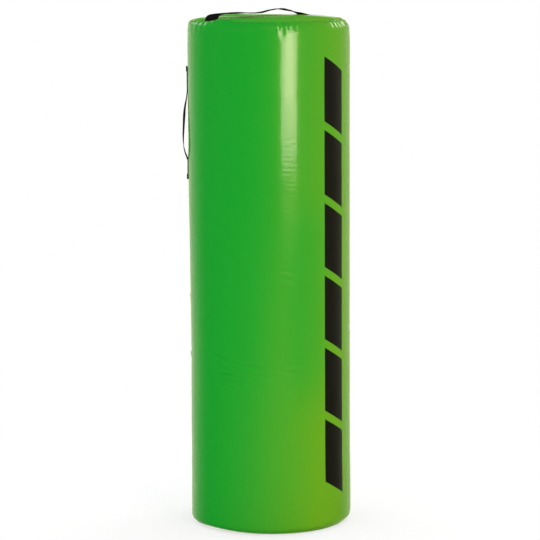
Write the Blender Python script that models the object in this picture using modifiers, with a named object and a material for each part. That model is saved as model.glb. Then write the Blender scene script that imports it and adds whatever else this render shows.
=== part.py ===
"""A rugby tackling bag: a foam cylinder in a sewn PVC cover, with webbing handles.

Metres, +Z up. The origin is the centre of the base, on the ground. The front,
with the top handle's near end, faces -Y, and the side handle is on -X.
"""

import bisect
import math

import bmesh
import bpy
from mathutils import Vector

MM = 0.001

# The whole bag.
COVER_RADIUS = 227 * MM
SEAM_HEIGHT = 1432 * MM
CROWN_RISE = 7 * MM
SHOULDER_WIDTH = 22 * MM
SHOULDER_HEIGHT = 30 * MM
FACETS = 48

# Cloth, foam and the air between pieces that touch.
CLOTH = 0.9 * MM
GAP = 0.3 * MM
FOAM_PLAY = 1 * MM

# Turned-in seams: the lip inside the shoulder at the top, and the rounded corner at the base.
SEAM_ALLOWANCE = 10 * MM
TOP_LIP = 2 * MM
TOP_EDGE_ROUND = 2 * MM
BASE_CORNER = 18 * MM
BASE_TURN = 1.5 * MM
SEAM_RECESS = 0.5 * MM
BINDING_TAPE = 0.6 * MM
BINDING_COVER = 7 * MM
CROWN_POWER = 4
CROWN_RINGS = 5
CORNER_STEPS = 4
SHOULDER_STEPS = 6
TURN_STEPS = 2

# Pads, the stiffening disc and the rolled foam. The disc's play is to the binding round it.
BASE_DISC_PLAY = 0.75 * MM
BASE_DISC = 2 * MM
BASE_PAD_TOP = 73 * MM
TOP_PAD_DEPTH = 45 * MM
CORE_RADIUS = 100 * MM
MIDDLE_RADIUS = 160 * MM

# Webbing.
WEBBING_WIDTH = 50 * MM
WEBBING = 1.8 * MM
FOLD_LENGTH = 14 * MM

# The side handle, hung below the top seam. Shares run down the free span, and out of its largest lift.
SIDE_AZIMUTH = 180
SIDE_TOP_DROP = 134 * MM
SIDE_UPPER_SEWN = 68 * MM
SIDE_FREE_SPAN = 197 * MM
SIDE_LOWER_SEWN = 51 * MM
SIDE_LIFT = 12.3 * MM
SIDE_LIFT_SHARES = (
    (0.0, 0.0),
    (0.10, 0.20),
    (0.28, 0.54),
    (0.42, 0.75),
    (0.55, 0.91),
    (0.68, 1.0),
    (0.80, 0.90),
    (0.88, 0.62),
    (0.95, 0.25),
    (1.0, 0.0),
)
SIDE_GRIP_START_SHARE = 0.31
SIDE_GRIP_END_SHARE = 0.88
BACKING_MARGIN = 12 * MM

# The top handle, from rim to rim. Shares run from the front rim to the back rim.
TOP_AZIMUTH = 43.5
TOP_LIFT = 15.3 * MM
TOP_LIFT_SHARES = (
    (0.0, 0.0),
    (0.012, 0.45),
    (0.025, 0.80),
    (0.045, 0.99),
    (0.08, 0.91),
    (0.15, 0.79),
    (0.23, 0.69),
    (0.305, 0.59),
    (0.38, 0.56),
    (0.455, 0.67),
    (0.53, 0.92),
    (0.575, 1.0),
    (0.61, 0.96),
    (0.685, 0.69),
    (0.72, 0.47),
    (0.76, 0.34),
    (0.80, 0.235),
    (0.87, 0.0),
    (1.0, 0.0),
)
TOP_GRIP_START_SHARE = 0.056
TOP_GRIP_END_SHARE = 0.70

# The closure at the back: a slit under a flap with hook-and-loop tape.
SLIT_AZIMUTH = 90
SLIT_WIDTH = 4 * MM
CLOSURE_MARGIN = 80 * MM
SLIT_INSET = 15 * MM
FLAP_WIDTH = 111 * MM
FLAP_SEWN_SIDE = 38 * MM
SEAM_STRIP_WIDTH = 16 * MM
HOOK_TAPE_WIDTH = 50 * MM
TAPE = 1.5 * MM
TAPE_INSET = 6 * MM

# What a cutter passes its wall by.
OVERRUN = 10 * MM

# Facets leave a round piece this far inside its true radius at mid-facet.
FACET_SHARE = math.cos(math.pi / FACETS)

SIDE_GRIP_ROWS = 12
SEWN_ROWS = 4
LEG_ROWS = 8
TOP_GRIP_ROWS = 24
TOP_LEG_ROWS = 12
RIBBON_COLUMNS = 4


def material(name, colour, roughness):
    made = bpy.data.materials.new(name)
    made.use_nodes = True
    shader = made.node_tree.nodes["Principled BSDF"]
    shader.inputs["Base Color"].default_value = (*colour, 1)
    shader.inputs["Roughness"].default_value = roughness
    shader.inputs["Metallic"].default_value = 0
    return made


def add_object(name, mesh, surface):
    mesh.materials.append(surface)
    made = bpy.data.objects.new(name, mesh)
    PARTS.objects.link(made)
    mesh.shade_smooth()
    mesh.set_sharp_from_angle(angle=math.radians(35))
    return made


def smooth_value(points, at):
    """The value at one place on a smooth curve through the points, with no overshoot between them."""
    places = [point[0] for point in points]
    values = [point[1] for point in points]
    slopes = [
        (values[i + 1] - values[i]) / (places[i + 1] - places[i])
        for i in range(len(points) - 1)
    ]
    tangents = [slopes[0]]
    for before, after in zip(slopes, slopes[1:]):
        flat = before * after <= 0
        tangents.append(0 if flat else 2 * before * after / (before + after))
    tangents.append(slopes[-1])
    i = min(max(bisect.bisect_right(places, at) - 1, 0), len(slopes) - 1)
    span = places[i + 1] - places[i]
    t = (at - places[i]) / span
    return (
        (2 * t**3 - 3 * t**2 + 1) * values[i]
        + (t**3 - 2 * t**2 + t) * span * tangents[i]
        + (3 * t**2 - 2 * t**3) * values[i + 1]
        + (t**3 - t**2) * span * tangents[i + 1]
    )


def arc(centre, radius, start_degrees, end_degrees, steps):
    """Points of a circular arc in the plane of a turned outline (distance from the axis, height)."""
    points = []
    for i in range(steps + 1):
        angle = math.radians(start_degrees + (end_degrees - start_degrees) * i / steps)
        points.append(
            (centre[0] + radius * math.cos(angle), centre[1] + radius * math.sin(angle))
        )
    return points


def shoulder(inset, steps):
    """Points of the rounded shoulder, from its top to where it meets the straight wall, inset towards the foam."""
    width = COVER_RADIUS - SHOULDER_TOP_RADIUS - inset
    height = SHOULDER_HEIGHT - inset
    low = SEAM_HEIGHT - SHOULDER_HEIGHT
    return [
        (SHOULDER_TOP_RADIUS + width * across, low + height * up)
        for across, up in arc((0, 0), 1, 90, 0, steps)
    ]


def offset_right(path, distance):
    """The path moved to its right-hand side, with mitred corners."""
    moved = []
    for i, point in enumerate(path):
        here = Vector(point)
        normals = []
        for a, b in ((i - 1, i), (i, i + 1)):
            if a >= 0 and b < len(path):
                run = (Vector(path[b]) - Vector(path[a])).normalized()
                normals.append(Vector((run.y, -run.x)))
        mitre = (normals[0] + normals[-1]).normalized()
        moved.append(tuple(here + mitre * distance / mitre.dot(normals[0])))
    return moved


def turned(name, outline, surface, closed):
    """A solid of revolution. The outline runs down its outer side; an open one starts and ends on the axis."""
    mesh = bpy.data.meshes.new(name)
    edges = [(i, i + 1) for i in range(len(outline) - 1)]
    if closed:
        edges.append((len(outline) - 1, 0))
    mesh.from_pydata([(x, 0, z) for x, z in outline], edges, [])
    made = add_object(name, mesh, surface)
    screw = made.modifiers.new("turn", "SCREW")
    screw.axis = "Z"
    screw.steps = FACETS
    screw.render_steps = FACETS
    screw.use_merge_vertices = True
    screw.merge_threshold = 0.1 * MM
    return made


def turned_cloth(name, face, surface):
    """Cloth of one thickness whose outer face follows the given outline, with the cloth on its right."""
    back = offset_right(face, CLOTH)
    starts_on_axis = face[0][0] == 0
    ends_on_axis = face[-1][0] == 0
    if starts_on_axis:
        back[0] = (0, back[0][1])
    if ends_on_axis:
        back[-1] = (0, back[-1][1])
        return turned(name, back[::-1] + face, surface, closed=False)
    return turned(name, face + back[::-1], surface, closed=not starts_on_axis)


def sheet_solid(name, rows, columns, lower, upper, surface):
    """A closed sheet: lower(s, t) and upper(s, t) give its two faces for s along it and t across it, each 0 to 1."""
    shape = bmesh.new()
    bmesh.ops.create_grid(shape, x_segments=rows, y_segments=columns, size=0.5)
    lower_verts = list(shape.verts)
    places = {vert: (vert.co.x + 0.5, vert.co.y + 0.5) for vert in lower_verts}
    for vert in lower_verts:
        vert.co = lower(*places[vert])
    grown = bmesh.ops.extrude_face_region(
        shape, geom=list(shape.faces), use_keep_orig=True
    )
    upper_verts = [item for item in grown["geom"] if isinstance(item, bmesh.types.BMVert)]
    by_place = {tuple(vert.co): places[vert] for vert in lower_verts}
    for vert in upper_verts:
        vert.co = upper(*by_place[tuple(vert.co)])
    bmesh.ops.recalc_face_normals(shape, faces=shape.faces)
    mesh = bpy.data.meshes.new(name)
    shape.to_mesh(mesh)
    shape.free()
    return add_object(name, mesh, surface)


def wall_patch(name, azimuth, start, width, low, high, radius, thickness, surface):
    """A sheet that lies round the wall: from start to start + width, measured round it from the azimuth."""

    def place(distance_out):
        def at(s, t):
            angle = math.radians(azimuth) + (start + width * s) / COVER_RADIUS
            reach = radius + distance_out
            return (
                reach * math.cos(angle),
                reach * math.sin(angle),
                low + (high - low) * t,
            )

        return at

    columns = max(2, round(width / (15 * MM)))
    return sheet_solid(name, columns, 1, place(0), place(thickness), surface)


def crown_height(radius):
    """Height of the top panel's outer face."""
    share = min(radius / CROWN_RADIUS, 1)
    return SEAM_HEIGHT + CROWN_RISE * (1 - share**CROWN_POWER)


def make_wall():
    lip_centre = (SEAM_RADIUS + GAP / 2 + TOP_LIP, SEAM_HEIGHT - TOP_LIP)
    corner_centre = (COVER_RADIUS - BASE_CORNER, SEAM_RECESS + BASE_CORNER)
    turn_centre = (BASE_SEAM_RADIUS + GAP / 2 + BASE_TURN, SEAM_RECESS + BASE_TURN)
    face = [(lip_centre[0] - TOP_LIP, TOP_FIN_TIP)]
    face += arc(lip_centre, TOP_LIP, 180, 90, TURN_STEPS)[:-1]
    face += shoulder(0, SHOULDER_STEPS)
    face += arc(corner_centre, BASE_CORNER, 0, -90, CORNER_STEPS)
    face += arc(turn_centre, BASE_TURN, 270, 180, TURN_STEPS)
    face.append((turn_centre[0] - BASE_TURN, BASE_FIN_TIP))
    wall = turned_cloth("wall_panel", face, PVC)
    slit = wall.modifiers.new("slit", "BOOLEAN")
    slit.operation = "DIFFERENCE"
    slit.object = slit_cutter()


def slit_cutter():
    shape = bmesh.new()
    bmesh.ops.create_cube(shape, size=1)
    low = CLOSURE_LOW + SLIT_INSET
    high = CLOSURE_HIGH - SLIT_INSET
    depth = 2 * OVERRUN
    size = (SLIT_WIDTH, depth, high - low)
    bmesh.ops.scale(shape, vec=size, verts=shape.verts)
    bmesh.ops.translate(
        shape, vec=(0, COVER_RADIUS, (low + high) / 2), verts=shape.verts
    )
    mesh = bpy.data.meshes.new("slit_cutter")
    shape.to_mesh(mesh)
    shape.free()
    cutter = bpy.data.objects.new("slit_cutter", mesh)
    CUTTERS.objects.link(cutter)
    cutter.rotation_euler.z = math.radians(SLIT_AZIMUTH - 90)
    cutter.hide_render = True
    cutter.display_type = "WIRE"
    return cutter


def make_top_panel():
    face = [
        (CROWN_RADIUS * i / CROWN_RINGS, crown_height(CROWN_RADIUS * i / CROWN_RINGS))
        for i in range(CROWN_RINGS)
    ]
    edge_centre = (CROWN_RADIUS, SEAM_HEIGHT - TOP_EDGE_ROUND)
    face += arc(edge_centre, TOP_EDGE_ROUND, 90, 0, TURN_STEPS)
    face.append((CROWN_RADIUS + TOP_EDGE_ROUND, TOP_FIN_TIP))
    turned_cloth("top_panel", face, PVC)


def make_base_panel():
    turn_centre = (BASE_SEAM_RADIUS - GAP / 2 - BASE_TURN, BASE_TURN)
    face = [(turn_centre[0] + BASE_TURN, BASE_FIN_TIP)]
    face += arc(turn_centre, BASE_TURN, 0, -90, TURN_STEPS)
    face.append((0, 0))
    turned_cloth("base_panel", face, PVC)


def binding_outline(seam_radius, tip, towards):
    """A tape folded over both seam allowances. Towards is 1 where they point up and -1 where they point down."""
    half_tape = HALF_BINDING
    half_channel = half_tape - BINDING_TAPE
    fold = tip + towards * GAP
    back = tip + towards * (GAP + BINDING_TAPE)
    mouth = tip - towards * BINDING_COVER
    outline = [
        (seam_radius + half_tape, back),
        (seam_radius + half_tape, mouth),
        (seam_radius + half_channel, mouth),
        (seam_radius + half_channel, fold),
        (seam_radius - half_channel, fold),
        (seam_radius - half_channel, mouth),
        (seam_radius - half_tape, mouth),
        (seam_radius - half_tape, back),
    ]
    return outline if towards > 0 else outline[::-1]


def make_bindings():
    turned(
        "top_seam_binding",
        binding_outline(SEAM_RADIUS, TOP_FIN_TIP, -1),
        TAPE_CLOTH,
        closed=True,
    )
    turned(
        "base_seam_binding",
        binding_outline(BASE_SEAM_RADIUS, BASE_FIN_TIP, 1),
        TAPE_CLOTH,
        closed=True,
    )


def make_base_disc():
    low = CLOTH + GAP
    outline = [(0, low + BASE_DISC), (BASE_DISC_RADIUS, low + BASE_DISC)]
    outline += [(BASE_DISC_RADIUS, low), (0, low)]
    turned("base_reinforcement", outline, STIFF_PVC, closed=False)


def make_base_pad():
    low = CLOTH + BASE_DISC + 2 * GAP
    step = BASE_FIN_TIP + 2 * GAP + BINDING_TAPE
    outline = [
        (0, BASE_PAD_TOP),
        (FOAM_RADIUS, BASE_PAD_TOP),
        (FOAM_RADIUS, step),
        (BASE_DISC_RADIUS, step),
        (BASE_DISC_RADIUS, low),
        (0, low),
    ]
    turned("base_pad", outline, DENSE_FOAM, closed=False)


def make_top_pad():
    inside_binding = SEAM_RADIUS - CLOTH - BINDING_TAPE - 3 * GAP
    step = TOP_FIN_TIP - 2 * GAP - BINDING_TAPE
    under_panel = CLOTH + GAP
    outline = [
        (
            inside_binding * i / CROWN_RINGS,
            crown_height(inside_binding * i / CROWN_RINGS) - under_panel,
        )
        for i in range(CROWN_RINGS)
    ]
    inset = COVER_RADIUS - FOAM_RADIUS
    side = [place for place in shoulder(inset, 2 * SHOULDER_STEPS) if place[1] < step]
    outline += [
        (inside_binding, crown_height(inside_binding) - under_panel - TOP_EDGE_ROUND),
        (inside_binding, step),
        (side[0][0] - (step - side[0][1]), step),
        *side,
        (FOAM_RADIUS, TOP_PAD_BOTTOM),
        (0, TOP_PAD_BOTTOM),
    ]
    turned("top_pad", outline, DENSE_FOAM, closed=False)


def make_foam():
    low = BASE_PAD_TOP + GAP
    high = TOP_PAD_BOTTOM - GAP
    turned(
        "foam_core",
        [(0, high), (CORE_RADIUS, high), (CORE_RADIUS, low), (0, low)],
        DENSE_FOAM,
        closed=False,
    )
    sleeves = (
        ("foam_middle_sleeve", CORE_RADIUS + GAP, MIDDLE_RADIUS, SOFT_FOAM),
        ("foam_outer_sleeve", MIDDLE_RADIUS + GAP, FOAM_RADIUS, SOFT_FOAM),
    )
    for name, inner, outer, surface in sleeves:
        outline = [(outer, high), (outer, low), (inner, low), (inner, high)]
        turned(name, outline, surface, closed=True)


def side_lift(height):
    """How far the strap's underside stands off the wall."""
    share = (SIDE_SPAN_TOP - height) / SIDE_FREE_SPAN
    if share <= 0 or share >= 1:
        return 0
    return SIDE_LIFT * smooth_value(SIDE_LIFT_SHARES, share)


def side_handle_piece(name, high, low, rows, fold_at=None):
    """One length of the side handle, from high to low. The webbing is folded under itself at fold_at."""
    on_wall = COVER_RADIUS + GAP

    def place(outer):
        def at(s, t):
            height = high + (low - high) * s
            across = WEBBING_WIDTH * (t - 0.5)
            lift = side_lift(height)
            flatness = min(lift / SIDE_GRIP_LIFT, 1)
            bow = on_wall - math.sqrt(on_wall**2 - across**2)
            depth = 0
            if outer:
                folded = fold_at is not None and abs(height - fold_at) < FOLD_LENGTH
                depth = 2 * WEBBING if folded else WEBBING
            reach = on_wall - bow * (1 - flatness) + lift + depth
            return (-reach, -across, height)

        return at

    return sheet_solid(name, rows, RIBBON_COLUMNS, place(False), place(True), WEB)


def make_side_handle():
    half_cut = GAP / 2
    side_handle_piece(
        "side_handle_upper_end",
        SIDE_TOP,
        SIDE_GRIP_TOP + half_cut,
        SEWN_ROWS + LEG_ROWS,
        SIDE_TOP,
    )
    side_handle_piece(
        "side_handle_grip",
        SIDE_GRIP_TOP - half_cut,
        SIDE_GRIP_BOTTOM + half_cut,
        SIDE_GRIP_ROWS,
    )
    side_handle_piece(
        "side_handle_lower_end",
        SIDE_GRIP_BOTTOM - half_cut,
        SIDE_BOTTOM,
        SEWN_ROWS + LEG_ROWS,
        SIDE_BOTTOM,
    )
    ends = (
        ("side_handle_upper_backing", SIDE_SPAN_TOP, SIDE_TOP),
        ("side_handle_lower_backing", SIDE_BOTTOM, SIDE_SPAN_TOP - SIDE_FREE_SPAN),
    )
    width = WEBBING_WIDTH + 2 * BACKING_MARGIN
    for name, low, high in ends:
        wall_patch(
            name,
            SIDE_AZIMUTH,
            -width / 2,
            width,
            low - BACKING_MARGIN,
            high + BACKING_MARGIN,
            BACKING_RADIUS,
            CLOTH,
            STIFF_PVC,
        )


def top_handle_piece(name, start_share, end_share, rows):
    """One length of the top handle, along the diagonal from the front rim."""
    direction = Vector(
        (math.cos(math.radians(TOP_AZIMUTH)), math.sin(math.radians(TOP_AZIMUTH)), 0)
    )
    sideways = Vector((-direction.y, direction.x, 0))

    def place(outer):
        def at(s, t):
            share = start_share + (end_share - start_share) * s
            along = CROWN_RADIUS * (2 * share - 1)
            across = WEBBING_WIDTH * (t - 0.5)
            lift = TOP_LIFT * smooth_value(TOP_LIFT_SHARES, share)
            height = crown_height(math.hypot(along, across)) + 2 * GAP + lift
            if outer:
                height += WEBBING
            flat = direction * along + sideways * across
            return (flat.x, flat.y, height)

        return at

    return sheet_solid(name, rows, RIBBON_COLUMNS, place(False), place(True), WEB)


def make_top_handle():
    half_cut = GAP / 4 / CROWN_RADIUS
    front_cut = TOP_GRIP_START_SHARE
    rear_cut = TOP_GRIP_END_SHARE
    top_handle_piece("top_handle_front_end", 0, front_cut - half_cut, LEG_ROWS)
    top_handle_piece(
        "top_handle_grip", front_cut + half_cut, rear_cut - half_cut, TOP_GRIP_ROWS
    )
    top_handle_piece("top_handle_rear_end", rear_cut + half_cut, 1, TOP_LEG_ROWS)


def make_closure():
    tape_width = HOOK_TAPE_WIDTH
    free_edge = FLAP_WIDTH - FLAP_SEWN_SIDE
    tape_start = free_edge - TAPE_INSET - tape_width
    tape_low = CLOSURE_LOW + TAPE_INSET
    tape_high = CLOSURE_HIGH - TAPE_INSET
    wall_patch(
        "flap_seam_strip",
        SLIT_AZIMUTH,
        -FLAP_SEWN_SIDE - SEAM_STRIP_WIDTH,
        SEAM_STRIP_WIDTH - GAP,
        CLOSURE_LOW,
        CLOSURE_HIGH,
        LOOP_RADIUS,
        FLAP_RADIUS + CLOTH - LOOP_RADIUS,
        PVC,
    )
    wall_patch(
        "loop_tape",
        SLIT_AZIMUTH,
        tape_start,
        tape_width,
        tape_low,
        tape_high,
        LOOP_RADIUS,
        TAPE,
        LOOP,
    )
    wall_patch(
        "flap_hook_tape",
        SLIT_AZIMUTH,
        tape_start,
        tape_width,
        tape_low,
        tape_high,
        HOOK_RADIUS,
        TAPE,
        HOOK,
    )
    wall_patch(
        "closure_flap",
        SLIT_AZIMUTH,
        -FLAP_SEWN_SIDE,
        FLAP_WIDTH,
        CLOSURE_LOW,
        CLOSURE_HIGH,
        FLAP_RADIUS,
        CLOTH,
        PVC,
    )


for old in list(bpy.data.objects):
    bpy.data.objects.remove(old)

PARTS = bpy.data.collections.new("tackling_bag")
CUTTERS = bpy.data.collections.new("cutters")
for group in (PARTS, CUTTERS):
    bpy.context.scene.collection.children.link(group)

PVC = material("green_pvc", (0.02, 0.36, 0.04), 0.25)
STIFF_PVC = material("stiff_pvc", (0.03, 0.03, 0.03), 0.5)
WEB = material("black_webbing", (0.012, 0.012, 0.012), 0.8)
TAPE_CLOTH = material("binding_tape", (0.02, 0.02, 0.02), 0.8)
LOOP = material("loop_pile", (0.02, 0.02, 0.02), 0.95)
HOOK = material("hook_tape", (0.03, 0.03, 0.03), 0.6)
DENSE_FOAM = material("dense_foam", (0.15, 0.17, 0.2), 0.9)
SOFT_FOAM = material("soft_foam", (0.7, 0.66, 0.5), 0.9)

# Places worked out from the sizes above.
SEAM_RADIUS = COVER_RADIUS - SHOULDER_WIDTH
SHOULDER_TOP_RADIUS = SEAM_RADIUS + GAP / 2 + TOP_LIP
CROWN_RADIUS = SEAM_RADIUS - GAP / 2 - TOP_EDGE_ROUND
BASE_SEAM_RADIUS = COVER_RADIUS - BASE_CORNER - BASE_TURN - GAP
TOP_FIN_TIP = SEAM_HEIGHT - TOP_LIP - SEAM_ALLOWANCE
BASE_FIN_TIP = BASE_TURN + SEAM_ALLOWANCE
HALF_BINDING = GAP / 2 + CLOTH + GAP + BINDING_TAPE
BASE_DISC_RADIUS = BASE_SEAM_RADIUS - HALF_BINDING - BASE_DISC_PLAY
TOP_PAD_BOTTOM = SEAM_HEIGHT - TOP_PAD_DEPTH
BACKING_RADIUS = (COVER_RADIUS - CLOTH) * FACET_SHARE - GAP - CLOTH
FOAM_RADIUS = COVER_RADIUS - 2 * CLOTH - FOAM_PLAY - 2 * GAP
CLOSURE_LOW = CLOSURE_MARGIN
CLOSURE_HIGH = SEAM_HEIGHT - CLOSURE_MARGIN
LOOP_RADIUS = COVER_RADIUS + GAP
HOOK_RADIUS = LOOP_RADIUS + TAPE + GAP
FLAP_RADIUS = HOOK_RADIUS + TAPE + GAP
SIDE_TOP = SEAM_HEIGHT - SIDE_TOP_DROP
SIDE_SPAN_TOP = SIDE_TOP - SIDE_UPPER_SEWN
SIDE_BOTTOM = SIDE_SPAN_TOP - SIDE_FREE_SPAN - SIDE_LOWER_SEWN
SIDE_GRIP_TOP = SIDE_SPAN_TOP - SIDE_FREE_SPAN * SIDE_GRIP_START_SHARE
SIDE_GRIP_BOTTOM = SIDE_SPAN_TOP - SIDE_FREE_SPAN * SIDE_GRIP_END_SHARE
SIDE_GRIP_LIFT = side_lift(SIDE_GRIP_TOP)

make_wall()
make_top_panel()
make_base_panel()
make_bindings()
make_base_disc()
make_base_pad()
make_top_pad()
make_foam()
make_side_handle()
make_top_handle()
make_closure()
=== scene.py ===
"""The finished look of a rugby tackling bag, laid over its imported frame.

Metres, +Z up, origin at the centre of the base. The front faces -Y and the side handle is on -X.
"""

import bisect
import math
import random

import bmesh
import bpy
import numpy as np
from mathutils import Matrix, Vector


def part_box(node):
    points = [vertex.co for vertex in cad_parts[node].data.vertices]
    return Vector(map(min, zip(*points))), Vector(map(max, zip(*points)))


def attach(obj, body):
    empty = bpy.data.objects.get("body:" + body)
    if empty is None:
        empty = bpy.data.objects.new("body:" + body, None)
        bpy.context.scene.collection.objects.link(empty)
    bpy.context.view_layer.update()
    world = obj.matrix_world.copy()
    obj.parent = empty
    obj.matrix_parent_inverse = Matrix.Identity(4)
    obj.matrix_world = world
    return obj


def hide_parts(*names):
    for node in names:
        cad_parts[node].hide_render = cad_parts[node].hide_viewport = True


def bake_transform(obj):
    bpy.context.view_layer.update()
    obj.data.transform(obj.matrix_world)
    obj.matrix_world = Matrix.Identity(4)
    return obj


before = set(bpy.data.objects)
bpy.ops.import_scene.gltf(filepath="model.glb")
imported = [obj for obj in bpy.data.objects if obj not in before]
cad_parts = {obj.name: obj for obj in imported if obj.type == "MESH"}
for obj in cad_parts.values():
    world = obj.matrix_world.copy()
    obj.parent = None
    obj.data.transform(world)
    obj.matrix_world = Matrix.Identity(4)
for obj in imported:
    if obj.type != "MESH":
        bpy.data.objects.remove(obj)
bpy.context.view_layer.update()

# Filling: a firm foam core, two softer sleeves rolled round it, and a dense pad at each end.
# Cut polyurethane foam with open cells, held together only by the cover drawn over it.
MM = 0.001
FOAM_EDGE = 3 * MM
SLEEVE_PLAY = 0.3 * MM
SHARP_CORNER = math.radians(40)
# Each foam's second colour is painted shade for the low parts of its cells, a little yellowed in the soft
# foam.
DENSE_GREY, DENSE_SHADE = (0.15, 0.17, 0.20, 1), (0.08, 0.09, 0.11, 1)
SOFT_CREAM, SOFT_SHADE = (0.70, 0.66, 0.50, 1), (0.52, 0.44, 0.26, 1)


class Wire:
    """One value running through a finish, so that a pattern reads as a sum."""

    def __init__(self, nodes, socket):
        self.nodes = nodes
        self.socket = socket

    def maths(self, operation, *values):
        return self.nodes.node("ShaderNodeMath", {"operation": operation}, dict(enumerate(values)))

    def __add__(self, other):
        return self.maths("ADD", self, other)

    def __radd__(self, other):
        return self.maths("ADD", other, self)

    def __sub__(self, other):
        return self.maths("SUBTRACT", self, other)

    def __rsub__(self, other):
        return self.maths("SUBTRACT", other, self)

    def __mul__(self, other):
        return self.maths("MULTIPLY", self, other)

    def __rmul__(self, other):
        return self.maths("MULTIPLY", other, self)

    def __truediv__(self, other):
        return self.maths("DIVIDE", self, other)

    def __mod__(self, other):
        return self.maths("FLOORED_MODULO", self, other)

    def __abs__(self):
        return self.maths("ABSOLUTE", self)

    def wave(self):
        return self.maths("SINE", self)

    def steps(self):
        return self.maths("FLOOR", self)

    def clipped(self):
        return self.maths("MINIMUM", self.maths("MAXIMUM", self, 0), 1)

    def rise(self, low, high):
        """0 below low, 1 above high and smooth between; it falls instead where low is above high."""
        settings = {"interpolation_type": "SMOOTHSTEP"}
        return self.nodes.node("ShaderNodeMapRange", settings, {0: self, 1: low, 2: high, 3: 0, 4: 1})


class Nodes:
    """A node tree that patterns are written into."""

    def __init__(self, tree):
        self.tree = tree

    def node(self, kind, settings=None, values=None, output=0):
        made = self.tree.nodes.new(kind)
        for name, value in (settings or {}).items():
            setattr(made, name, value)
        for name, value in (values or {}).items():
            self.feed(made.inputs[name], value)
        return Wire(self, made.outputs[output])

    def feed(self, socket, value):
        if isinstance(value, Wire):
            self.tree.links.new(value.socket, socket)
        else:
            socket.default_value = value

    def mix(self, share, first, second):
        return self.node("ShaderNodeMix", {"data_type": "RGBA"}, {0: share, 6: first, 7: second}, 2)

    def noise(self, place, size, detail=2, roughness=0.5):
        values = {"Vector": place, "Scale": 1 / size, "Detail": detail, "Roughness": roughness}
        return self.node("ShaderNodeTexNoise", None, values)

    def cells(self, place, size, feature="F1"):
        values = {"Vector": place, "Scale": 1 / size}
        return self.node("ShaderNodeTexVoronoi", {"feature": feature}, values)

    def axes(self, place):
        return [self.node("ShaderNodeSeparateXYZ", None, {0: place}, axis) for axis in range(3)]

    def ray(self, kind):
        return self.node("ShaderNodeLightPath", None, None, kind)

    def stretched(self, place, upright):
        values = {"Vector": place, "Scale": (1, 1, upright)}
        return self.node("ShaderNodeMapping", None, values)


class Finish(Nodes):
    """A surface: what is the same all over goes straight on the shader, and patterns are fed in."""

    def __init__(self, name, constants):
        self.material = bpy.data.materials.new(name)
        self.material.use_nodes = True
        super().__init__(self.material.node_tree)
        self.shader = self.tree.nodes["Principled BSDF"]
        for socket, value in constants.items():
            self.shader.inputs[socket].default_value = value

    def wear(self, colour, height, depth, roughness=None):
        """Feeds in the colour, a relief of the given height and depth, and a roughness that varies."""
        values = {"Strength": 1, "Distance": depth, "Height": height}
        self.feed(self.shader.inputs["Base Color"], colour)
        self.feed(self.shader.inputs["Normal"], self.node("ShaderNodeBump", None, values))
        if roughness:
            self.feed(self.shader.inputs["Roughness"], roughness)
        return self.material

    def on_object(self):
        return self.node("ShaderNodeTexCoord", None, None, "Object")

    def on_cloth(self):
        return self.node("ShaderNodeUVMap", {"uv_map": "cloth"})


def foam_finish(name, light, shade, cell):
    """Open foam: a sponge of pits with bright walls and painted shade where its relief is low, mottled and
    a little yellowed.
    """
    finish = Finish(name, {"Specular IOR Level": 0.15, "Roughness": 0.95})
    place = finish.on_object()
    pits = finish.cells(place, cell)
    mottle = finish.noise(place, 60 * MM, 4)
    # Painted shade: the low parts of the cells take the darker colour, mixed with random mottle.
    share = pits.rise(0.1, 0.7) * 0.6 + mottle * 0.5
    return finish.wear(finish.mix(share, light, shade), 1 - pits, cell * 0.4)


def make_piece(name, shape, finish, body, slot, *nodes):
    """The finished shape becomes an object that stands for its nodes, riding on a body when one is given.
    """
    bmesh.ops.remove_doubles(shape, verts=shape.verts, dist=0.01 * MM)
    mesh = bpy.data.meshes.new(name)
    shape.to_mesh(mesh)
    shape.free()
    mesh.materials.append(finish)
    mesh.shade_smooth()
    mesh.set_sharp_from_angle(angle=math.radians(50))
    made = bpy.data.objects.new(name, mesh)
    bpy.context.scene.collection.objects.link(made)
    if body:
        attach(made, body)
    if nodes:
        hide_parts(*nodes)
    return made


def turned_shape(outline, turns, closed=False):
    """The outline, given as distance from the axis and height, turned once round the axis."""
    shape = bmesh.new()
    verts = [shape.verts.new((reach, 0, height)) for reach, height in outline]
    pairs = list(zip(verts, verts[1:]))
    if closed:
        pairs.append((verts[-1], verts[0]))
    edges = [shape.edges.new(pair) for pair in pairs]
    centre, upright, eighth = (0, 0, 0), (0, 0, 1), math.tau / 8
    bmesh.ops.spin(shape, geom=verts + edges, cent=centre, axis=upright, angle=eighth, steps=turns // 8)
    for eighths in (1, 2, 4):
        whole = shape.verts[:] + shape.edges[:] + shape.faces[:]
        copied = bmesh.ops.duplicate(shape, geom=whole)["geom"]
        verts = [item for item in copied if isinstance(item, bmesh.types.BMVert)]
        turn = Matrix.Rotation(eighth * eighths, 3, "Z")
        bmesh.ops.rotate(shape, verts=verts, cent=centre, matrix=turn)
    bmesh.ops.remove_doubles(shape, verts=shape.verts, dist=0.01 * MM)
    bmesh.ops.recalc_face_normals(shape, faces=shape.faces)
    return shape


def bend(reach, height, across, up, turns):
    """A rounded bend of an outline: its centre, its two radii, and degrees from straight up outwards."""
    angles = [math.radians(turn) for turn in turns]
    return [(reach + across * math.sin(angle), height + up * math.cos(angle)) for angle in angles]


def soften(shape, width, steps=3):
    """Rounds the sharp edges of a closed shape."""
    closed = [edge for edge in shape.edges if len(edge.link_faces) == 2]
    sharp = [edge for edge in closed if edge.calc_face_angle() > SHARP_CORNER]
    bmesh.ops.bevel(
        shape, geom=sharp, offset=width, segments=steps, profile=0.5, affect="EDGES", material=-1
    )


dense_foam = foam_finish("dense_foam", DENSE_GREY, DENSE_SHADE, 1.2 * MM)
soft_foam = foam_finish("soft_foam", SOFT_CREAM, SOFT_SHADE, 2 * MM)

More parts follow.
